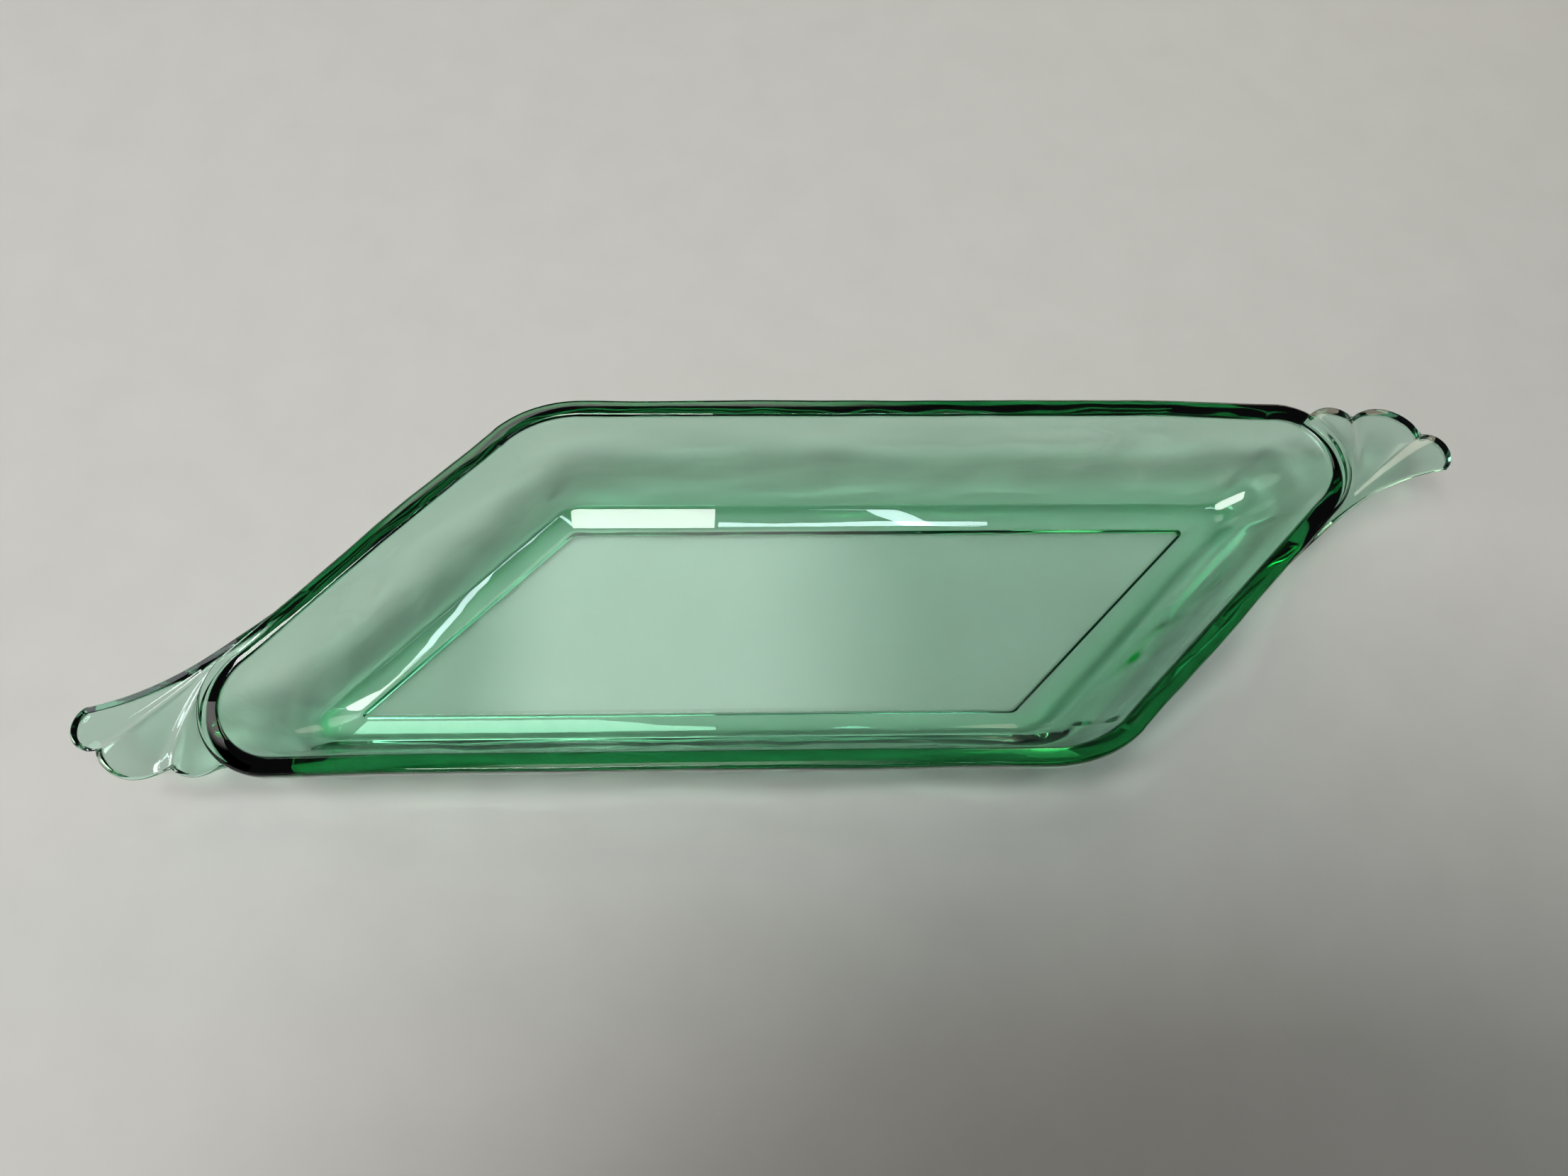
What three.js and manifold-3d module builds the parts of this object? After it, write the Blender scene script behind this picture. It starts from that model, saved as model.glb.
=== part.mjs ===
// Long pressed-glass serving dish: a rounded parallelogram well with a scalloped shell handle at each acute corner.
// The real dish is one pressing. Here its regions are separate solids: a floor panel, then three courses (foot, wall
// and rim) that run round the well, each in eight segments, then two handles of four lobes.
// Millimetres, +Z up, +X along the long sides. The origin is under the centre, on the plane the foot stands on.
// The shape repeats when it is turned half a turn about Z.
import * as THREE from 'three';
import { mergeVertices } from 'three/addons/utils/BufferGeometryUtils.js';
import Module from 'manifold-3d';

const wasm = await Module();
wasm.setup();

// Driving dimensions. An inset is measured inwards from the outer edge of the rim, square to the long side.
const slant = THREE.MathUtils.degToRad(44.7); // angle between the long sides and the slanted sides
const rimHalfWidth = 46.2; // from the centre line to the outer edge of a long side
const rimHalfLength = 113.9; // from the centre to the outer edge of a slanted side, along X
const rimHeight = 34;
const endWallSpread = 1.08; // a slanted wall is this much wider in plan than a long one
const acuteRimRadius = 17; // shrinks with the inset across the rim, so the rim keeps its width round the corner
const acuteWallRadius = 14.6; // radius the wall's corner would have if it ran out to the edge of the rim
const obtuseRimRadius = 30;
const creaseInset = 21.2; // where the floor panel meets the foot, and the wall starts to rise
const acuteCreaseRadius = 1;
const obtuseCreaseRadius = 3;
const acuteFlare = new THREE.Vector2(0.5, 0.8); // how far each acute corner stands out from the plain parallelogram
const cornerDip = 2.2; // how far the rim drops at the acute corners
const dipStart = 95; // distance from the centre where that drop starts
const dipEnd = 130;
const footInset = 15.4; // outer edge of the foot
const recessDepth = 1.2; // the panel's underside stands this far above the foot
const floorHeight = 5; // inside of the well
const rimThickness = 4.4;
const gap = 0.3; // clearance between neighbouring solids

const handleThickness = 4.4;
const handleTop = 30.6; // height of the handle's upper face at the rim
const handleTilt = THREE.MathUtils.degToRad(5); // droop towards the tip
const handleGap = 0.6; // clearance between the tilted handle and the upright rim
const handleEdge = 1.6; // rounding of the handle's edge
const fanCentre = new THREE.Vector2(133.4, 19.9); // where the flutes of the shell meet
const rimNotchAngle = THREE.MathUtils.degToRad(56); // where the inner lobe meets the rim
const tipStart = new THREE.Vector2(162.6, 30.2); // end of the smooth edge
const tipNotch = new THREE.Vector2(158.2, 40.1);
const innerNotch = new THREE.Vector2(140.4, 44.2);
const lobeRises = { tip: 4.4, middle: 4.6, inner: 2.6 }; // how far each lobe's arc stands out from its chord

const glassColour = 0x2f9a66;
const segmentNames = [
  'right', 'acute_right', 'back', 'obtuse_left', 'left', 'acute_left', 'front', 'obtuse_right',
];
const sideSteps = 6;
const acuteSteps = 10;
const obtuseSteps = 5;

// Half of the wall's section is its inner face, half its outer face. X is the inset and Y the height.
const innerFace = new THREE.CubicBezierCurve(
  new THREE.Vector2(creaseInset, floorHeight),
  new THREE.Vector2(12.8, floorHeight),
  new THREE.Vector2(8.4, 15.5),
  new THREE.Vector2(rimThickness, 31),
);
const outerFace = new THREE.CubicBezierCurve(
  new THREE.Vector2(footInset, 0),
  new THREE.Vector2(11.5, 2),
  new THREE.Vector2(5, 11),
  new THREE.Vector2(0.6, 28.5),
);
const innerFootLength = 5; // how far the foot course reaches up each face
const outerFootLength = 2.4;

// The rounded parallelogram at one inset: the centres and radii of its acute and obtuse corners.
function cornersAt(inset) {
  const halfWidth = rimHalfWidth - inset;
  const halfLength = rimHalfLength - (inset * endWallSpread) / Math.sin(slant);
  const share = THREE.MathUtils.clamp(inset / creaseInset, 0, 1);
  const acuteRadius = Math.max(
    acuteRimRadius - inset,
    THREE.MathUtils.lerp(acuteWallRadius, acuteCreaseRadius, share),
  );
  const obtuseRadius = THREE.MathUtils.lerp(obtuseRimRadius, obtuseCreaseRadius, share);
  const lean = halfWidth / Math.tan(slant);
  const acute = new THREE.Vector2(
    halfLength + lean - acuteRadius / Math.tan(slant / 2),
    halfWidth - acuteRadius,
  ).add(acuteFlare);
  const obtuse = new THREE.Vector2(
    lean - halfLength + obtuseRadius * Math.tan(slant / 2),
    halfWidth - obtuseRadius,
  );
  return { acute, acuteRadius, obtuse, obtuseRadius };
}

function onCircle(centre, radius, angle) {
  return new THREE.Vector2(centre.x + radius * Math.cos(angle), centre.y + radius * Math.sin(angle));
}

// A straight stretch, kept one gap short at both ends so that it clears the corners beside it.
function onSide(start, end, share) {
  const length = start.distanceTo(end);
  return start.clone().lerp(end, (gap + share * (length - 2 * gap)) / length);
}

// Plan position on the outline at an inset. Segments run anticlockwise from the right-hand slanted side.
function outlinePoint(inset, segment, share) {
  const { acute, acuteRadius, obtuse, obtuseRadius } = cornersAt(inset);
  const sideAngle = slant - Math.PI / 2;
  let point;
  if (segment % 4 === 0) {
    const start = onCircle(obtuse.clone().negate(), obtuseRadius, sideAngle);
    point = onSide(start, onCircle(acute, acuteRadius, sideAngle), share);
  } else if (segment % 4 === 1) {
    point = onCircle(acute, acuteRadius, THREE.MathUtils.lerp(sideAngle, Math.PI / 2, share));
  } else if (segment % 4 === 2) {
    const start = onCircle(acute, acuteRadius, Math.PI / 2);
    point = onSide(start, onCircle(obtuse, obtuseRadius, Math.PI / 2), share);
  } else {
    point = onCircle(obtuse, obtuseRadius, Math.PI / 2 + share * slant);
  }
  return segment < 4 ? point : point.negate();
}

// The rim and the wall under it drop a little towards the acute corners, and the foot stays flat.
function dippedHeight(point, height) {
  const drop = cornerDip * THREE.MathUtils.smoothstep(point.length(), dipStart, dipEnd);
  return height - (drop * height) / rimHeight;
}

function stepsOf(segment) {
  if (segment % 2 === 0) {
    return sideSteps;
  }
  return segment % 4 === 1 ? acuteSteps : obtuseSteps;
}

// Carries a closed section along one segment of the outline and closes both ends.
function lofted(section, segment) {
  const steps = stepsOf(segment);
  const count = section.length;
  const positions = [];
  const triangles = [];
  for (let step = 0; step <= steps; step += 1) {
    for (const { x: inset, y: height } of section) {
      const plan = outlinePoint(inset, segment, step / steps);
      positions.push(plan.x, plan.y, dippedHeight(plan, height));
    }
  }
  for (let step = 0; step < steps; step += 1) {
    for (let corner = 0; corner < count; corner += 1) {
      const near = step * count + corner;
      const nearNext = step * count + ((corner + 1) % count);
      triangles.push(near, near + count, nearNext, nearNext, near + count, nearNext + count);
    }
  }
  const face = section.map(({ x, y }) => new THREE.Vector2(-x, y));
  for (const [a, b, c] of THREE.ShapeUtils.triangulateShape(face, [])) {
    const last = steps * count;
    triangles.push(a, b, c, last + a, last + c, last + b);
  }
  const geometry = new THREE.BufferGeometry();
  geometry.setAttribute('position', new THREE.Float32BufferAttribute(positions, 3));
  geometry.setIndex(triangles);
  geometry.computeVertexNormals();
  return geometry;
}

// Points along a curve between two distances from its start.
function stretch(curve, from, to, pieces) {
  const length = curve.getLength();
  return Array.from({ length: pieces + 1 }, (_, i) => (
    curve.getPointAt(THREE.MathUtils.lerp(from, to, i / pieces) / length)
  ));
}

function footSection() {
  return [
    new THREE.Vector2(creaseInset, 0),
    ...stretch(outerFace, 0, outerFootLength, 2),
    ...stretch(innerFace, innerFootLength, 0, 2),
  ];
}

function wallSection() {
  return [
    ...stretch(outerFace, outerFootLength + gap, outerFace.getLength(), 6),
    ...stretch(innerFace, innerFace.getLength(), innerFootLength + gap, 6),
  ];
}

function rimSection() {
  const outerFoot = outerFace.getPointAt(1);
  const innerFoot = innerFace.getPointAt(1);
  const bead = new THREE.Path();
  bead.moveTo(outerFoot.x, outerFoot.y + gap);
  bead.bezierCurveTo(-0.2, 32, 0.5, rimHeight, 2.1, rimHeight);
  bead.bezierCurveTo(3.6, rimHeight, 4.2, 33, innerFoot.x, innerFoot.y + gap);
  return bead.getPoints(4);
}

function floorPanel() {
  const { acute, acuteRadius, obtuse, obtuseRadius } = cornersAt(creaseInset + gap);
  const sideAngle = slant - Math.PI / 2;
  const outline = new THREE.Shape();
  outline.absarc(acute.x, acute.y, acuteRadius, sideAngle, Math.PI / 2, false);
  outline.absarc(obtuse.x, obtuse.y, obtuseRadius, Math.PI / 2, sideAngle + Math.PI, false);
  outline.absarc(-acute.x, -acute.y, acuteRadius, sideAngle + Math.PI, 1.5 * Math.PI, false);
  outline.absarc(-obtuse.x, -obtuse.y, obtuseRadius, 1.5 * Math.PI, 2 * Math.PI + sideAngle, false);
  const panel = new THREE.ExtrudeGeometry(outline, {
    depth: floorHeight - recessDepth,
    bevelEnabled: false,
    curveSegments: 5,
  });
  panel.translate(0, 0, recessDepth);
  return panel;
}

// Adds the arc that bulges out to the right of the line from one notch to the next.
function addLobe(shape, from, to, rise) {
  const halfChord = from.distanceTo(to) / 2;
  const radius = (halfChord ** 2 + rise ** 2) / (2 * rise);
  const across = to.clone().sub(from).normalize();
  const inward = new THREE.Vector2(-across.y, across.x);
  const centre = from.clone().lerp(to, 0.5).addScaledVector(inward, radius - rise);
  const startAngle = from.clone().sub(centre).angle();
  const endAngle = to.clone().sub(centre).angle();
  shape.absarc(centre.x, centre.y, radius, startAngle, endAngle, false);
}

// The whole shell in plan: the smooth edge, three lobes, and a wedge that runs back under the rim to be cut away.
function shellShape() {
  const { acute, acuteRadius } = cornersAt(0);
  const sideAngle = slant - Math.PI / 2;
  const root = onCircle(acute, acuteRadius, sideAngle);
  const rimNotch = onCircle(acute, acuteRadius, rimNotchAngle);
  const shell = new THREE.Shape();
  shell.moveTo(root.x, root.y);
  shell.bezierCurveTo(root.x + 9, root.y + 7.6, 148, 26.6, tipStart.x, tipStart.y);
  addLobe(shell, tipStart, tipNotch, lobeRises.tip);
  addLobe(shell, tipNotch, innerNotch, lobeRises.middle);
  addLobe(shell, innerNotch, rimNotch, lobeRises.inner);
  shell.lineTo(acute.x, acute.y);
  return shell;
}

// The two valleys between the lobes, from the centre of the fan out past their notches.
const tipValley = new THREE.QuadraticBezierCurve(
  fanCentre,
  new THREE.Vector2(145, 31.7),
  tipNotch.clone().add(new THREE.Vector2(4.5, 3)),
);
const innerValley = new THREE.QuadraticBezierCurve(
  fanCentre,
  new THREE.Vector2(142, 33),
  innerNotch.clone().add(new THREE.Vector2(0, 6)),
);

// A valley's points out from the centre of the fan, moved sideways to its left by an amount.
function shifted(valley, amount) {
  const pieces = 6;
  return Array.from({ length: pieces }, (_, i) => {
    const share = (i + 1) / pieces;
    const along = valley.getTangentAt(share);
    return valley.getPointAt(share).add(new THREE.Vector2(-along.y, along.x).multiplyScalar(amount));
  });
}

function solidFrom(geometry) {
  geometry.deleteAttribute('normal');
  geometry.deleteAttribute('uv');
  const merged = mergeVertices(geometry, 1e-4);
  return new wasm.Manifold(new wasm.Mesh({
    numProp: 3,
    vertProperties: new Float32Array(merged.attributes.position.array),
    triVerts: new Uint32Array(merged.index.array),
  }));
}

function geometryFrom(solid) {
  const mesh = solid.getMesh();
  const geometry = new THREE.BufferGeometry();
  geometry.setAttribute('position', new THREE.BufferAttribute(mesh.vertProperties, 3));
  geometry.setIndex(new THREE.BufferAttribute(mesh.triVerts, 1));
  geometry.computeVertexNormals();
  return geometry;
}

// A straight prism tall enough to pass right through the handle.
function prism(shape) {
  const reach = 2 * handleThickness;
  const geometry = new THREE.ExtrudeGeometry(shape, { depth: 2 * reach, bevelEnabled: false, curveSegments: 8 });
  geometry.translate(0, 0, -reach);
  return solidFrom(geometry);
}

// The shell handle at the right-hand acute corner, cut along its two valleys. Z = 0 is its upper face.
function handleLobes() {
  const blank = new THREE.ExtrudeGeometry(shellShape(), {
    depth: handleThickness - 2 * handleEdge,
    bevelThickness: handleEdge,
    bevelSize: handleEdge,
    bevelOffset: -handleEdge,
    bevelSegments: 3,
    curveSegments: 8,
  });
  blank.translate(0, 0, handleEdge - handleThickness);
  const { acute, acuteRadius } = cornersAt(0);
  const rim = new THREE.Shape().absarc(acute.x, acute.y, acuteRadius + handleGap, 0, 2 * Math.PI, false);
  const shell = solidFrom(blank).subtract(prism(rim));
  const half = gap / 2;
  const reach = new THREE.Box2(new THREE.Vector2(110, 5), new THREE.Vector2(175, 52));
  const tipFar = new THREE.Vector2(reach.max.x, 44);
  const innerFar = new THREE.Vector2(reach.min.x, reach.max.y);
  const sectors = {
    tip_lobe: [fanCentre, reach.min, new THREE.Vector2(reach.max.x, reach.min.y), tipFar,
      ...shifted(tipValley, -half).reverse()],
    middle_lobe: [...shifted(tipValley, half), tipFar, reach.max, ...shifted(innerValley, -half).reverse()],
    inner_lobe: [fanCentre, ...shifted(innerValley, half), innerFar],
  };
  return Object.entries(sectors).map(([lobeName, corners]) => (
    [lobeName, shell.intersect(prism(new THREE.Shape(corners)))]
  ));
}

function glassMesh(name, geometry) {
  const material = new THREE.MeshStandardMaterial({ color: glassColour, roughness: 0.08, metalness: 0 });
  const mesh = new THREE.Mesh(geometry, material);
  mesh.name = name;
  return mesh;
}

const dish = new THREE.Group();
dish.add(glassMesh('floor_panel', floorPanel()));

const courses = { foot: footSection(), wall: wallSection(), rim: rimSection() };
for (const [course, section] of Object.entries(courses)) {
  segmentNames.forEach((segmentName, segment) => {
    dish.add(glassMesh(`${course}_${segmentName}`, lofted(section, segment)));
  });
}

const pivotX = cornersAt(0).acute.x + acuteRimRadius;
const lobes = handleLobes();
for (const side of ['right', 'left']) {
  const turned = new THREE.Group();
  turned.rotation.z = side === 'right' ? 0 : Math.PI;
  const pivot = new THREE.Group();
  pivot.position.set(pivotX, 0, handleTop);
  pivot.rotation.y = handleTilt;
  for (const [lobeName, solid] of lobes) {
    const geometry = geometryFrom(solid);
    geometry.translate(-pivotX, 0, 0);
    pivot.add(glassMesh(`handle_${side}_${lobeName}`, geometry));
  }
  turned.add(pivot);
  dish.add(turned);
}

export default dish;
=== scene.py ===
"""A long pressed-glass serving dish in clear emerald green, seen from above on a pale table.

The CAD part splits the dish into regions. Here the same dish is one continuous skin of glass, as the real
one is.
"""
import math

import bmesh
import bpy
import numpy as np
from mathutils import Matrix, Vector, noise


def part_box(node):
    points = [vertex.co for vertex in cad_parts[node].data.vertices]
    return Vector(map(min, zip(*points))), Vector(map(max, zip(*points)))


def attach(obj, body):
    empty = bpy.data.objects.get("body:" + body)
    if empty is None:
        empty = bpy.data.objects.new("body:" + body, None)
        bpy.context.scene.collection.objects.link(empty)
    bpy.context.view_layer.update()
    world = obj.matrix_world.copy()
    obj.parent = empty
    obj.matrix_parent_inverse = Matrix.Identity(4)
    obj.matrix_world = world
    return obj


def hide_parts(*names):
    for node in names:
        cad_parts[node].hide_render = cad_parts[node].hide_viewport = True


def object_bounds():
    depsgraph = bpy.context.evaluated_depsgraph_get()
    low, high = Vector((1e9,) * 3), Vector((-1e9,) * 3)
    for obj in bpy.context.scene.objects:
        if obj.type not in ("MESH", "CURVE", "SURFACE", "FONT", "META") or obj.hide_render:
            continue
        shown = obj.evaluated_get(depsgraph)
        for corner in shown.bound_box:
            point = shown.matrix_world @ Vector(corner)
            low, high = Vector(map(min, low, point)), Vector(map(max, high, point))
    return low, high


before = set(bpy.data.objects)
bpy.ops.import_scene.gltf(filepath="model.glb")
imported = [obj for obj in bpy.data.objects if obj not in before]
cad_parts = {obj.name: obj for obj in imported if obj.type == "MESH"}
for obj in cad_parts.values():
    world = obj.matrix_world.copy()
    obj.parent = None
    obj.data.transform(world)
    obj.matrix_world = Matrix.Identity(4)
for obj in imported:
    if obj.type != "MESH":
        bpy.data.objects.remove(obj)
cad_low, cad_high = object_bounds()

mm = 0.001


def farthest(node, direction):
    """How far a CAD node reaches from the origin in a direction."""
    return max(v.co.dot(direction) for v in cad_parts[node].data.vertices)


# Plan of the well, worked out from the CAD nodes where they show it. Insets are measured from the rim's
# outer edge.
slant = math.radians(44.7)  # between the long sides and the slanted sides
side_angle = slant - math.pi / 2  # the way a slanted side faces
side_facing = Vector((math.cos(side_angle), math.sin(side_angle), 0))
half_width = farthest("rim_obtuse_left", Vector((0, 1, 0)))
half_length = farthest("rim_right", side_facing) / math.sin(slant)
end_wall_spread = 1.06  # how much wider the slanted walls are in plan than the long ones
acute_rim_radius = 17 * mm
acute_wall_radius = 14.6 * mm
acute_crease_radius = 1 * mm
obtuse_rim_radius = 30 * mm
obtuse_crease_radius = 3 * mm
smallest_radius = 0.3 * mm
tightest_share = 1.15  # corners go on tightening a little past the crease
acute_flare = np.array((0.5, 0.8)) * mm  # the acute corners stand out a little
floor_offset = np.array((-3.1, -1.2, 0)) * mm  # the floor is pressed a little off centre
floor_offset_insets = (6 * mm, 20 * mm)  # the offset grows between these insets

# Section of the wall. Pairs are (inset, height); roundings are before, corner and after.
rim_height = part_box("rim_back")[1].z
floor_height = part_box("floor_panel")[1].z
recess_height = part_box("floor_panel")[0].z
foot_inset = half_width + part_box("foot_front")[0].y
rim_thickness = 4.4 * mm
crown_drop = 0.85 * mm  # the crown slopes down towards the well
inner_edge = np.array(((0.15, -0.9), (-0.05, 0), (-0.7, 0.15))) * mm  # from the inner side of the crown
outer_edge = np.array(((0.9, -0.1), (0.1, 0), (0, -1.2))) * mm  # from the top of the outer side
bead = np.array(((0, -3.5), (0.35, -5.5))) * mm  # the almost upright part of the outer face, below its edge
inner_wall_bends = np.array(((10.8, 11.5), (6.6, 18.5))) * mm
outer_wall_bends = np.array(((2, 19.5), (9.5, 1.8))) * mm
foot_edge = np.array(((0.3, 0.05), (0.9, 0))) * mm
band_top = np.array((15.6, 6.7)) * mm  # top of the shallow slope that borders the floor
band_top_round = 1.0 * mm
wall_start = np.array((-0.9, 1.0)) * mm  # from the band's top to where the curve of the wall begins
crease_inset = 21.2 * mm
crease_round = 0.7 * mm
step_round = 0.5 * mm  # half the run of the step up from the foot to the underside of the floor
floor_margin = 2.0 * mm
band_slope = (band_top[1] - floor_height) / (crease_inset - band_top[0])
corner_dip = 2.2 * mm  # how far the rim drops towards the acute corners
dip_distances = (95 * mm, 130 * mm)  # the drop grows between these distances from the middle

# Waviness of the pressing. It grows, or fades, between each pair of heights.
inner_wave = 0.75 * mm
inner_wave_grows = (8 * mm, 13 * mm)
inner_wave_fades = (31 * mm, 26 * mm)
outer_wave = 0.28 * mm
outer_wave_grows = (3 * mm, 9 * mm)
broad_ripple = 38  # waves per metre, roughly
fine_ripple = 110
fine_share = 0.4

# Shell handle on the right; the left one is the same, turned half a turn.
root_share = 0.72  # where the handle's smooth edge leaves the slanted side
notch_angle = math.radians(56)
notch_share = (notch_angle - side_angle) / (math.pi / 2 - side_angle)
smooth_bends = np.array(((131.5, 16.2), (143, 26.3))) * mm
tip_start = np.array((162.6, 30.2)) * mm
tip_notch = np.array((158.2, 40.1)) * mm
inner_notch = np.array((140.4, 44.2)) * mm
fan_centre = np.array((133.4, 19.9)) * mm
tip_rise = 4.4 * mm
middle_rise = 4.6 * mm
inner_rise = 2.6 * mm
handle_thickness = 4.4 * mm
handle_top = 30.5 * mm
handle_fillet = 0.6 * mm
handle_crown = 0.35 * mm
crown_reach = 1.5 * mm  # how far from the edge the crown begins to fall away
handle_draft = math.radians(18)
handle_tilt = math.radians(5)
tilt_start = 136 * mm
tilt_lead = 6 * mm  # the tilt goes on this far towards the rim
underside_softness = 0.25 * mm  # rounding between the leaning edge and the flat underside
root_blend = 1.6 * mm  # how far from the rim the handle takes on its own height
valley_start = 0.12  # share of the way from the fan's centre to the notch
valley_bends = (np.array((144.6, 30.6)) * mm, np.array((139.6, 32.6)) * mm)
valley_width = (0.75 * mm, 1.8 * mm)  # at the fan's centre and at the notch
valley_depth = (0.4 * mm, 1.15 * mm)

# How finely the skin is divided.
rounding_points = 6
inner_wall_points = 36
inner_edge_points = 8
outer_edge_points = 9
handle_root_point = 6  # the outer edge's point that the top of the handle grows from
bead_points = 5
outer_wall_points = 34
slanted_side_stations = 40
acute_corner_stations = 14
long_side_stations = 90
obtuse_corner_stations = 28
handle_across = 120
handle_along = 64
edge_samples = 120
lobe_samples = 60
middle_lobe_samples = 80


# ---------------------------------------------------------------- curves

def smooth_step(x, low, high):
    """0 on the low side, 1 on the high side; low may be the larger number."""
    t = np.clip((x - low) / (high - low), 0, 1)
    return t * t * (3 - 2 * t)


def on_circle(centre, radius, angle):
    """A plan point on a circle."""
    return centre + radius * np.array((math.cos(angle), math.sin(angle)))


def bezier(points, count):
    """A cubic Bezier curve on four control points, sampled evenly."""
    a, b, c, d = np.array(points, float)
    t = np.linspace(0, 1, count)[:, None]
    return list((1 - t) ** 3 * a + 3 * t * (1 - t) ** 2 * b + 3 * t ** 2 * (1 - t) * c + t ** 3 * d)


def rounded(corner, before, after, count):
    """A rounded corner between two points, sampled evenly."""
    t = np.linspace(0, 1, count)[:, None]
    before, corner, after = (np.array(p, float) for p in (before, corner, after))
    return list((1 - t) ** 2 * before + 2 * t * (1 - t) * corner + t ** 2 * after)


def eased_both(count):
    """Shares from 0 to 1, packed close at both ends."""
    return (1 - np.cos(np.linspace(0, math.pi, count))) / 2


def eased_end(count):
    """Shares from 0 to 1, packed close at the end."""
    return np.sin(np.linspace(0, math.pi / 2, count))


def resampled(points, shares):
    """Points along a polyline at shares of its length."""
    points = np.array(points, float)
    steps = np.hypot(*np.diff(points, axis=0).T)
    along = np.concatenate(([0], np.cumsum(steps))) / steps.sum()
    return np.stack([np.interp(shares, along, points[:, k]) for k in (0, 1)], axis=-1)


def snapped(points, corners):
    """Moves the nearest sample onto each corner, so that the notches stay sharp."""
    for corner in corners:
        points[np.argmin(np.hypot(*(points - corner).T))] = corner
    return points


def distance_to(points, line):
    """Distance from each plan point to a polyline, and how far along it the nearest place is."""
    start = line[:-1]
    step = line[1:] - start
    length_squared = (step ** 2).sum(-1)
    from_start = points[..., None, :] - start
    t = np.clip((from_start * step).sum(-1) / length_squared, 0, 1)
    gap = np.hypot(*np.moveaxis(from_start - t[..., None] * step, -1, 0))
    nearest = gap.argmin(-1)
    lengths = np.sqrt(length_squared)
    passed = np.concatenate(([0], np.cumsum(lengths)))[nearest]
    within = np.take_along_axis(t, nearest[..., None], -1)[..., 0] * lengths[nearest]
    return gap.min(-1), (passed + within) / lengths.sum()


# ---------------------------------------------------------------- plan of the well

def corners_at(inset):
    """Centres and radii of the acute and obtuse corners of the outline at an inset."""
    width = half_width - inset
    length = half_length - inset * end_wall_spread / math.sin(slant)
    share = min(max(inset / crease_inset, 0), tightest_share)
    acute_radius = max(
        acute_rim_radius - inset,
        acute_wall_radius + (acute_crease_radius - acute_wall_radius) * share,
        smallest_radius,
    )
    obtuse_radius = max(
        obtuse_rim_radius + (obtuse_crease_radius - obtuse_rim_radius) * share,
        smallest_radius,
    )
    lean = width / math.tan(slant)
    acute = np.array((length + lean - acute_radius / math.tan(slant / 2), width - acute_radius)) + acute_flare
    obtuse = np.array((lean - length + obtuse_radius * math.tan(slant / 2), width - obtuse_radius))
    return acute, acute_radius, obtuse, obtuse_radius


def outline_point(inset, segment, share):
    """Plan position on the outline. Segments: slanted side, acute corner, long side, obtuse corner."""
    acute, acute_radius, obtuse, obtuse_radius = corners_at(inset)
    if segment == 0:
        start = on_circle(-obtuse, obtuse_radius, side_angle)
        end = on_circle(acute, acute_radius, side_angle)
        return start + (end - start) * share
    if segment == 1:
        return on_circle(acute, acute_radius, side_angle + (math.pi / 2 - side_angle) * share)
    if segment == 2:
        start = on_circle(acute, acute_radius, math.pi / 2)
        end = on_circle(obtuse, obtuse_radius, math.pi / 2)
        return start + (end - start) * np.array((share, smooth_step(share, 0, 1)))
    return on_circle(obtuse, obtuse_radius, math.pi / 2 + slant * share)


def stations():
    """Half of the way round the well as (segment, share) pairs.

    Also returns the first and the last station that carry the handle.
    """
    start = outline_point(0, 0, root_share)
    end = outline_point(0, 0, 1)
    side_run = np.hypot(*(end - start))
    arc_run = acute_rim_radius * (math.pi / 2 - side_angle) * notch_share
    bare_side = [(0, x) for x in np.linspace(0, root_share, slanted_side_stations, endpoint=False)]
    carried = []
    for run in eased_both(handle_across) * (side_run + arc_run):
        if run <= side_run:
            carried.append((0, root_share + (1 - root_share) * run / side_run))
        else:
            carried.append((1, notch_share * (run - side_run) / arc_run))
    bare_corner = [(1, x) for x in np.linspace(notch_share, 1, acute_corner_stations)[1:-1]]
    long_side = [(2, x) for x in np.linspace(0, 1, long_side_stations, endpoint=False)]
    obtuse = [(3, x) for x in np.linspace(0, 1, obtuse_corner_stations, endpoint=False)]
    first = len(bare_side)
    last = first + len(carried) - 1
    return bare_side + carried + bare_corner + long_side + obtuse, first, last


# ---------------------------------------------------------------- section of the wall

def inside_rows():
    """Points (inset, height) from the floor up to the inner side of the crown."""
    before_crease = (crease_inset + crease_round, floor_height)
    after_crease = (crease_inset - crease_round, floor_height + crease_round * band_slope)
    before_band_top = band_top + np.array((band_top_round, -band_top_round * band_slope))
    after_band_top = band_top + wall_start
    inner_top, crown_corner, crown_start = inner_edge + np.array((rim_thickness, rim_height - crown_drop))
    rows = [(crease_inset + floor_margin, floor_height)]
    rows += rounded((crease_inset, floor_height), before_crease, after_crease, rounding_points)
    rows += rounded(band_top, before_band_top, after_band_top, rounding_points)
    rows += bezier((after_band_top, *inner_wall_bends, inner_top), inner_wall_points)[1:]
    rows += rounded(crown_corner, inner_top, crown_start, inner_edge_points)[1:]
    return rows


def outer_edge_rows():
    """Points from the crown over the outer edge and down the almost upright face of the rim."""
    top = np.array((0, rim_height))
    crown_end, corner, edge_end = outer_edge + top
    bead_middle, bead_end = bead + top
    rows = rounded(corner, crown_end, edge_end, outer_edge_points)
    rows += rounded(bead_middle, edge_end, bead_end, bead_points)[1:]
    return rows


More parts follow.
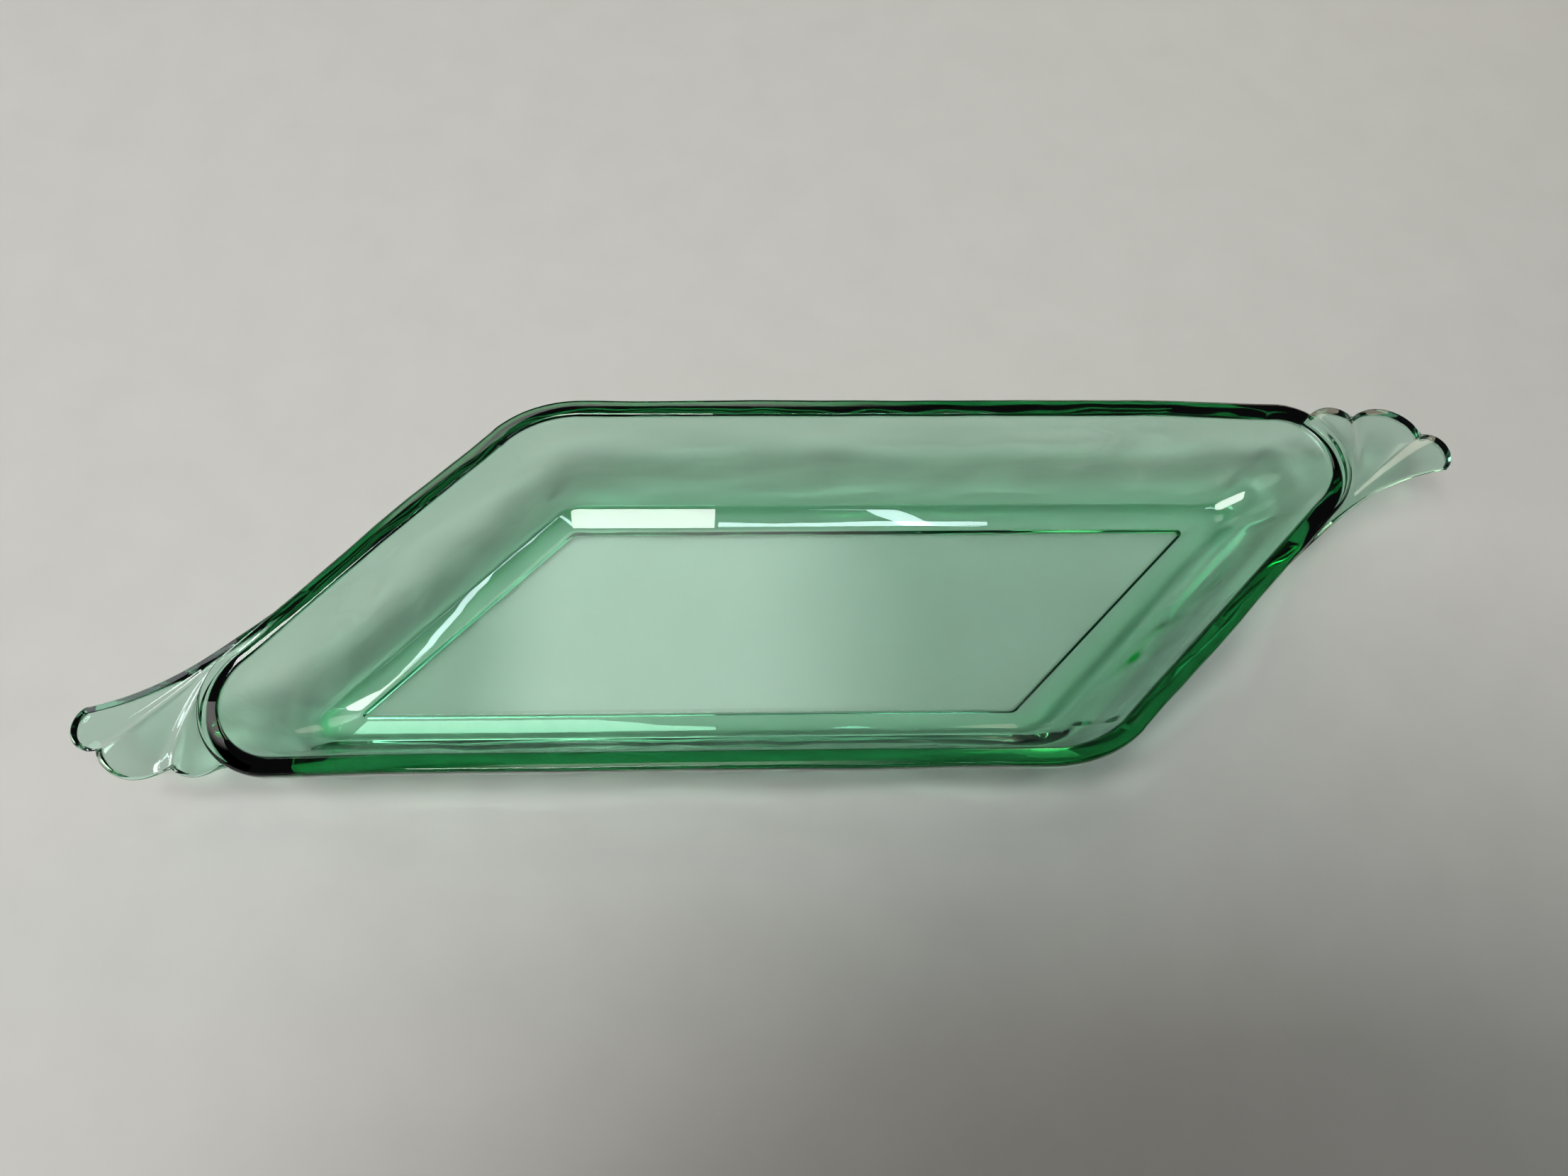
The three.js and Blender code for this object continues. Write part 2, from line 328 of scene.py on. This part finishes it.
def underside_rows():
    """Points from the foot's outer edge under the foot and up the step to the underside of the floor."""
    step_middle = (crease_inset, recess_height / 2)
    step_start = (crease_inset - 2 * step_round, 0)
    step_end = (crease_inset + 2 * step_round, recess_height)
    rows = list(foot_edge + np.array((foot_inset, 0)))
    rows += rounded((crease_inset - step_round, 0), step_start, step_middle, rounding_points)
    rows += rounded((crease_inset + step_round, recess_height), step_middle, step_end, rounding_points)[1:]
    rows += [(crease_inset + floor_margin, recess_height)]
    return rows


def wall_section():
    """Points (inset, height) from the inside floor, over the rim and down to the underside, in order.

    Also returns how many rows are inside the well, and the two rows of the rim's outer face that the handle
    grows from.
    """
    inside = inside_rows()
    edge = outer_edge_rows()
    outer_wall = bezier((edge[-1], *outer_wall_bends, (foot_inset, 0)), outer_wall_points)[1:-1]
    upper = len(inside) + handle_root_point
    lower = len(inside) + len(edge) - 1
    return np.array(inside + edge + outer_wall + underside_rows(), float), len(inside), upper, lower


# ---------------------------------------------------------------- the well

def dipped(plan, height):
    """The rim drops a little towards the acute corners, and the foot stays flat."""
    drop = corner_dip * smooth_step(np.hypot(*plan), *dip_distances)
    return height - drop * height / rim_height


def ripple(point):
    """The slight waviness of pressed glass, about -1 to 1."""
    fine_place = Vector(point) * fine_ripple + Vector((7, 3, 1))
    return noise.noise(Vector(point) * broad_ripple) + fine_share * noise.noise(fine_place)


def wave_height(height, is_inside):
    """How strong the waviness is: none near the floor and the foot, and none at the inner edge of the rim."""
    if is_inside:
        return inner_wave * smooth_step(height, *inner_wave_grows) * smooth_step(height, *inner_wave_fades)
    return outer_wave * smooth_step(height, *outer_wave_grows)


def half_ring(half, rows, inner_rows):
    """Half of the well: for each station, a line of points from the floor over the rim to the underside."""
    ring = []
    for segment, share in half:
        line = []
        for row, (inset, height) in enumerate(rows):
            plan = outline_point(inset, segment, share)
            wave = wave_height(height, row < inner_rows) * ripple((*plan, height))
            plan = outline_point(inset + wave, segment, share)
            line.append((*plan, dipped(plan, height)))
        ring.append(line)
    return np.array(ring)


def ring_faces(ids, carried, upper, lower):
    """Faces between neighbouring stations, open where a handle grows, and a cap on each side of the floor."""
    faces = []
    for station, line in enumerate(ids):
        following = ids[(station + 1) % len(ids)]
        has_handle = any(first <= station < last for first, last in carried)
        for row in range(len(line) - 1):
            if has_handle and upper <= row < lower:
                continue
            faces.append((line[row], line[row + 1], following[row + 1], following[row]))
    faces.append([line[0] for line in ids])
    faces.append([line[-1] for line in reversed(ids)])
    return faces


# ---------------------------------------------------------------- the shell handle

def lobe_points(start, end, rise, count):
    """Points on the arc that bulges to the right of the line from start to end."""
    chord = end - start
    half = np.hypot(*chord) / 2
    radius = (half ** 2 + rise ** 2) / (2 * rise)
    inward = np.array((-chord[1], chord[0])) / (2 * half)
    centre = (start + end) / 2 + inward * (radius - rise)
    first = math.atan2(*(start - centre)[::-1])
    last = math.atan2(*(end - centre)[::-1])
    if last < first:
        last += 2 * math.pi
    return [on_circle(centre, radius, a) for a in np.linspace(first, last, count)]


def handle_edges(root, notch):
    """The smooth edge, the lobed edge and the short edge back to the rim, each sampled."""
    smooth = bezier((root, *smooth_bends, tip_start), edge_samples)
    tip = lobe_points(tip_start, tip_notch, tip_rise, lobe_samples)
    middle = lobe_points(tip_notch, inner_notch, middle_rise, middle_lobe_samples)
    inner = lobe_points(inner_notch, notch, inner_rise, lobe_samples)
    turn = lobe_samples // 2  # halfway round the inner lobe the lobed edge ends and the short edge begins
    lobes = tip + middle[1:] + inner[1:turn]
    smooth_edge = resampled(smooth, eased_end(handle_along))
    lobed_edge = snapped(resampled(lobes, eased_both(handle_across)), (tip_notch, inner_notch))
    short_edge = resampled(inner[turn - 1:][::-1], eased_end(handle_along))
    return smooth_edge, lobed_edge, short_edge


def patch(near, far, left, right):
    """A Coons patch: near and far run across, left and right run from near to far."""
    across = np.linspace(0, 1, len(near))[:, None, None]
    along = np.linspace(0, 1, len(left))[None, :, None]
    s = (1 - np.cos(across * math.pi)) / 2
    t = np.sin(along * math.pi / 2)
    between_near_and_far = (1 - t) * near[:, None] + t * far[:, None]
    between_left_and_right = (1 - s) * left[None, :] + s * right[None, :]
    corners = (1 - s) * ((1 - t) * near[0] + t * far[0]) + s * ((1 - t) * near[-1] + t * far[-1])
    return between_near_and_far + between_left_and_right - corners


def valley(bend, notch):
    """A valley between two lobes, from near the centre of the fan to its notch."""
    t = np.linspace(valley_start, 1, 40)[:, None]
    return (1 - t) ** 2 * fan_centre + 2 * t * (1 - t) * bend + t ** 2 * notch


def handle_level(plan):
    """Height of the handle's top before it is fluted: level at the rim, then tilted down towards the tip."""
    return handle_top - math.tan(handle_tilt) * np.maximum(plan[..., 0] - tilt_start, -tilt_lead)


def top_height(plan, edge):
    """Height of the fluted top, with its edge rounded over. edge is the distance to the outline."""
    near = np.clip(edge / handle_fillet, 0, 1)
    round_off = np.sqrt(np.clip(1 - (1 - near) ** 2, 0, 1))
    crown = handle_crown * np.exp(-(edge / crown_reach) ** 2)
    height = handle_level(plan) - handle_fillet * (1 - round_off) - crown
    for bend, notch in zip(valley_bends, (tip_notch, inner_notch)):
        gap, along = distance_to(plan, valley(bend, notch))
        width = valley_width[0] + (valley_width[1] - valley_width[0]) * along
        depth = valley_depth[0] + (valley_depth[1] - valley_depth[0]) * along
        height = height - depth * np.exp(-(gap / width) ** 2) * round_off
    return height


def bottom_height(plan, edge):
    """Height of the flat underside, and of the edge, which leans inward on its way down."""
    level = handle_level(plan)
    side = level - handle_fillet - handle_crown - edge / math.tan(handle_draft)
    under = level - handle_thickness
    return under + underside_softness * np.logaddexp(0, (side - under) / underside_softness)


def handle_grid(rim_row, edges, height_of):
    """One face of the handle as a grid of points, across by along, starting on a row of the rim."""
    smooth_edge, lobed_edge, short_edge = (edge.copy() for edge in edges)
    outline = np.concatenate((smooth_edge, lobed_edge[1:], short_edge[::-1][1:]))
    smooth_edge[0] = rim_row[0, :2]
    short_edge[0] = rim_row[-1, :2]
    plan = patch(rim_row[:, :2], lobed_edge, smooth_edge, short_edge)
    from_rim = np.hypot(*np.moveaxis(plan - plan[:, :1], -1, 0))
    height = height_of(plan, distance_to(plan, outline)[0])
    blend = np.exp(-(from_rim / root_blend) ** 2)
    height = height * (1 - blend) + rim_row[:, None, 2] * blend
    return np.concatenate((plan, height[..., None]), axis=-1)


def handle_ids(verts, top, bottom, top_root, bottom_root):
    """Adds a handle's points to verts, and returns the vertex numbers of its two faces.

    The two faces share the points of their edge.
    """
    wide, deep = top.shape[:2]
    edge_ids = {}
    faces = []
    for grid, root in ((top, top_root), (bottom, bottom_root)):
        ids = [[number] for number in root]
        for i in range(wide):
            for j in range(1, deep):
                on_edge = i in (0, wide - 1) or j == deep - 1
                if (i, j) not in edge_ids:
                    point = (top[i, j] + bottom[i, j]) / 2 if on_edge else grid[i, j]
                    ids[i].append(len(verts))
                    verts.append(point.tolist())
                    if on_edge:
                        edge_ids[i, j] = ids[i][j]
                else:
                    ids[i].append(edge_ids[i, j])
        faces.append(ids)
    return faces


def handle_faces(top, bottom, first_line, last_line, upper, lower):
    """Faces of the handle's top and underside, and the slivers that close it at both ends of its root."""
    faces = []
    for i in range(len(top) - 1):
        for j in range(len(top[0]) - 1):
            faces.append((top[i][j], top[i][j + 1], top[i + 1][j + 1], top[i + 1][j]))
            faces.append((bottom[i][j], bottom[i + 1][j], bottom[i + 1][j + 1], bottom[i][j + 1]))
    for row in range(upper, lower):
        faces.append((first_line[row], first_line[row + 1], top[0][1]))
        faces.append((last_line[row + 1], last_line[row], top[-1][1]))
    return faces


# ---------------------------------------------------------------- the glass skin

def glass_skin():
    """One closed skin: the ring of the well, a cap on each side of the floor, and the two handles."""
    rows, inner_rows, upper, lower = wall_section()
    half, first, last = stations()
    ring = half_ring(half, rows, inner_rows)
    shift = smooth_step(rows[:, :1], *floor_offset_insets) * floor_offset
    whole = np.concatenate((ring, ring * np.array((-1, -1, 1)))) + shift
    verts = whole.reshape(-1, 3).tolist()
    ids = np.arange(len(verts)).reshape(len(whole), len(rows)).tolist()
    carried = [(first, last), (first + len(half), last + len(half))]
    faces = ring_faces(ids, carried, upper, lower)

    edges = handle_edges(outline_point(0, *half[first]), outline_point(0, *half[last]))
    top = handle_grid(ring[first:last + 1, upper], edges, top_height)
    bottom = handle_grid(ring[first:last + 1, lower], edges, bottom_height)
    for turn, (start, end) in zip((1, -1), carried):
        spin = np.array((turn, turn, 1))
        top_root = [line[upper] for line in ids[start:end + 1]]
        bottom_root = [line[lower] for line in ids[start:end + 1]]
        top_ids, bottom_ids = handle_ids(verts, top * spin, bottom * spin, top_root, bottom_root)
        faces += handle_faces(top_ids, bottom_ids, ids[start], ids[end], upper, lower)
    return verts, faces


def glass_dish():
    """The dish as one smooth-shaded object that stands for every CAD node."""
    verts, faces = glass_skin()
    mesh = bpy.data.meshes.new("glass_dish")
    mesh.from_pydata(verts, [], faces)
    mesh.validate()
    bm = bmesh.new()
    bm.from_mesh(mesh)
    bmesh.ops.recalc_face_normals(bm, faces=bm.faces)
    for face in bm.faces:
        face.smooth = True
    bm.to_mesh(mesh)
    bm.free()
    dish = bpy.data.objects.new("glass_dish", mesh)
    bpy.context.scene.collection.objects.link(dish)
    mesh.materials.append(emerald_glass())
    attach(dish, "root")
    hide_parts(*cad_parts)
    return dish


# ---------------------------------------------------------------- materials

def new_material(name):
    """A material with an output and a Principled shader, and both of those nodes."""
    material = bpy.data.materials.new(name)
    material.use_nodes = True
    nodes = material.node_tree.nodes
    nodes.clear()
    output = nodes.new("ShaderNodeOutputMaterial")
    shader = nodes.new("ShaderNodeBsdfPrincipled")
    material.node_tree.links.new(shader.outputs["BSDF"], output.inputs["Surface"])
    return material, shader, output


def tint_glass(tree, output):
    """The glass takes up red fast and blue more slowly, so thick glass looks deep green."""
    absorption = tree.nodes.new("ShaderNodeVolumeAbsorption")
    absorption.inputs["Color"].default_value = (0.0, 0.68, 0.37, 1)
    absorption.inputs["Density"].default_value = 88
    tree.links.new(absorption.outputs["Volume"], output.inputs["Volume"])


def uneven_surface(tree, shader):
    """A faint unevenness, drawn out along the dish."""
    place = tree.nodes.new("ShaderNodeTexCoord")
    drawn = tree.nodes.new("ShaderNodeMapping")
    drawn.inputs["Scale"].default_value = (0.35, 1.3, 1.6)
    waves = tree.nodes.new("ShaderNodeTexNoise")
    waves.inputs["Scale"].default_value = 45
    waves.inputs["Detail"].default_value = 1.5
    bump = tree.nodes.new("ShaderNodeBump")
    bump.inputs["Strength"].default_value = 1.0
    bump.inputs["Distance"].default_value = 0.12 * mm
    tree.links.new(place.outputs["Object"], drawn.inputs["Vector"])
    tree.links.new(drawn.outputs["Vector"], waves.inputs["Vector"])
    tree.links.new(waves.outputs["Fac"], bump.inputs["Height"])
    tree.links.new(bump.outputs["Normal"], shader.inputs["Normal"])


def emerald_glass():
    """Clear emerald glass with the faint unevenness of a pressing."""
    material, shader, output = new_material("emerald_glass")
    shader.inputs["Base Color"].default_value = (1, 1, 1, 1)
    shader.inputs["Roughness"].default_value = 0.0
    shader.inputs["IOR"].default_value = 1.52
    shader.inputs["Transmission Weight"].default_value = 1.0
    tint_glass(material.node_tree, output)
    uneven_surface(material.node_tree, shader)
    return material


def table_top():
    """Pale matt table with a faint mottle."""
    material, shader, _ = new_material("table_top")
    tree = material.node_tree
    place = tree.nodes.new("ShaderNodeTexCoord")
    mottle = tree.nodes.new("ShaderNodeTexNoise")
    mottle.inputs["Scale"].default_value = 60
    mottle.inputs["Detail"].default_value = 6
    tint = tree.nodes.new("ShaderNodeMix")
    tint.data_type = "RGBA"
    tint.inputs["A"].default_value = (0.62, 0.61, 0.58, 1)
    tint.inputs["B"].default_value = (0.68, 0.67, 0.64, 1)
    tree.links.new(place.outputs["Object"], mottle.inputs["Vector"])
    tree.links.new(mottle.outputs["Fac"], tint.inputs["Factor"])
    tree.links.new(tint.outputs["Result"], shader.inputs["Base Color"])
    shader.inputs["Roughness"].default_value = 0.55
    shader.inputs["Specular IOR Level"].default_value = 0.2
    return material


def dark_cloth():
    """Dull dark stuff for the shade, with a faint weave."""
    material, shader, _ = new_material("dark_cloth")
    tree = material.node_tree
    weave = tree.nodes.new("ShaderNodeTexNoise")
    weave.inputs["Scale"].default_value = 300
    tint = tree.nodes.new("ShaderNodeMapRange")
    tint.inputs["To Min"].default_value = 0.01
    tint.inputs["To Max"].default_value = 0.03
    tree.links.new(weave.outputs["Fac"], tint.inputs["Value"])
    tree.links.new(tint.outputs["Result"], shader.inputs["Base Color"])
    shader.inputs["Roughness"].default_value = 0.9
    return material


def bright_ceiling():
    """Light thrown on a ceiling: strong in the middle and fading out towards both ends."""
    # Along the sheet: where it is dark, where it is bright, and how bright. The two fades are multiplied.
    fades = ((0.42, 0.12, 2.6), (-0.25, -0.1, 1.0))
    material = bpy.data.materials.new("bright_ceiling")
    material.use_nodes = True
    tree = material.node_tree
    tree.nodes.clear()
    output = tree.nodes.new("ShaderNodeOutputMaterial")
    glow = tree.nodes.new("ShaderNodeEmission")
    glow.inputs["Color"].default_value = (1.0, 0.98, 0.95, 1)
    place = tree.nodes.new("ShaderNodeTexCoord")
    axes = tree.nodes.new("ShaderNodeSeparateXYZ")
    product = tree.nodes.new("ShaderNodeMath")
    product.operation = "MULTIPLY"
    for k, (dark_end, bright_end, strength) in enumerate(fades):
        fade = tree.nodes.new("ShaderNodeMapRange")
        fade.interpolation_type = "SMOOTHSTEP"
        fade.inputs["From Min"].default_value = dark_end
        fade.inputs["From Max"].default_value = bright_end
        fade.inputs["To Max"].default_value = strength
        tree.links.new(axes.outputs["X"], fade.inputs["Value"])
        tree.links.new(fade.outputs["Result"], product.inputs[k])
    tree.links.new(place.outputs["Object"], axes.inputs["Vector"])
    tree.links.new(product.outputs["Value"], glow.inputs["Strength"])
    tree.links.new(glow.outputs["Emission"], output.inputs["Surface"])
    return material


# ---------------------------------------------------------------- stage, light and camera

def sheet(name, corners, place, material):
    """A flat sheet through plan corners, which isn't part of the dish."""
    mesh = bpy.data.meshes.new(name)
    mesh.from_pydata([(x, y, 0) for x, y in corners], [], [range(len(corners))])
    mesh.materials.append(material)
    made = bpy.data.objects.new(name, mesh)
    made.location = place
    bpy.context.scene.collection.objects.link(made)
    return made


def rectangle(width, depth):
    """Plan corners of a rectangle round the origin."""
    x, y = width / 2, depth / 2
    return [(-x, -y), (x, -y), (x, y), (-x, y)]


def round_outline(radius):
    """Plan points of a circle round the origin."""
    return [tuple(on_circle(np.zeros(2), radius, 2 * math.pi * k / 64)) for k in range(64)]


def area_light(name, place, size, power, colour):
    """A rectangular lamp that faces straight down."""
    data = bpy.data.lights.new(name, "AREA")
    data.shape = "RECTANGLE"
    data.size, data.size_y = size
    data.energy = power
    data.color = colour
    light = bpy.data.objects.new(name, data)
    light.location = place
    bpy.context.scene.collection.objects.link(light)
    return light


def aimed_light(name, place, size, power, colour):
    """A rectangular lamp that faces the dish from one side."""
    light = area_light(name, place, size, power, colour)
    light.rotation_mode = "QUATERNION"
    light.rotation_quaternion = (-light.location).to_track_quat("-Z", "Y")
    return light


def make_lamps():
    """A broad lamp almost overhead, two thin ones beside it, and the dim light of a window and two walls."""
    cool_white = (0.75, 0.95, 1.0)
    neutral_white = (1.0, 0.995, 0.98)
    daylight = (0.94, 0.97, 1.0)
    pale_grey = (0.97, 0.98, 1.0)
    warm_white = (1.0, 0.88, 0.7)
    wall_size = (1.0, 0.8)
    area_light("ceiling", place=(-0.275, -0.2, 1.12), size=(0.44, 0.36), power=7.8, colour=neutral_white)
    area_light("tube", place=(0.12, -0.115, 1.12), size=(0.34, 0.03), power=0.5, colour=cool_white)
    second_tube = area_light(
        "second_tube", place=(0.175, -0.15, 1.13), size=(0.3, 0.03), power=0.45, colour=cool_white
    )
    second_tube.rotation_euler.z = math.radians(47)
    aimed_light("window", place=(-1.1, 1.0, 0.77), size=(0.7, 0.5), power=2.5, colour=daylight)
    aimed_light("near_wall", place=(-1.2, -0.8, 0.92), size=wall_size, power=2.5, colour=pale_grey)
    aimed_light("warm_wall", place=(0.9, 1.5, 0.82), size=wall_size, power=7.5, colour=warm_white)


def make_sheets():
    """The table, a glow on the ceiling, and a shade over the near right, as if someone stood in the light."""
    just_below = cad_low.z - 0.05 * mm
    sheet("table", rectangle(1.1, 0.8), (0, 0, just_below), table_top())
    glow = sheet("glow", rectangle(0.9, 0.36), (-0.17, 0.44, 1.2), bright_ceiling())
    shade = sheet("shade", round_outline(0.186), (0.019, -0.266, 0.3), dark_cloth())
    for unseen in (glow, shade):
        unseen.visible_camera = False


def make_surroundings():
    """A dim room. What is seen through the glass stays sharp, and colours are shown as they are."""
    world = bpy.data.worlds.new("studio")
    bpy.context.scene.world = world
    world.use_nodes = True
    background = world.node_tree.nodes["Background"]
    background.inputs["Color"].default_value = (0.9, 0.95, 1.0, 1)
    background.inputs["Strength"].default_value = 0.06
    bpy.context.scene.view_settings.view_transform = "Standard"
    bpy.context.scene.cycles.blur_glossy = 0


def make_camera():
    """The photograph's view: close over the dish, a little in front of it, on a wide lens."""
    distance = 265.5 * mm
    looked_at = Vector((-5.0 * mm, -3.1 * mm, rim_height - 2.5 * mm))
    forward = Vector((0.0287, 0.3577, -0.9334)).normalized()
    right = Vector((0.99959, -0.01125, 0.0264))
    right = (right - forward * right.dot(forward)).normalized()
    up = right.cross(forward)
    data = bpy.data.cameras.new("camera")
    data.sensor_width = 36
    data.lens = 26.04
    data.clip_start = 0.01
    camera = bpy.data.objects.new("camera", data)
    camera.rotation_mode = "QUATERNION"
    camera.rotation_quaternion = Matrix((right, up, -forward)).transposed().to_quaternion()
    camera.location = looked_at - forward * distance
    bpy.context.scene.collection.objects.link(camera)
    bpy.context.scene.camera = camera


glass_dish()
make_sheets()
make_lamps()
make_surroundings()
make_camera()
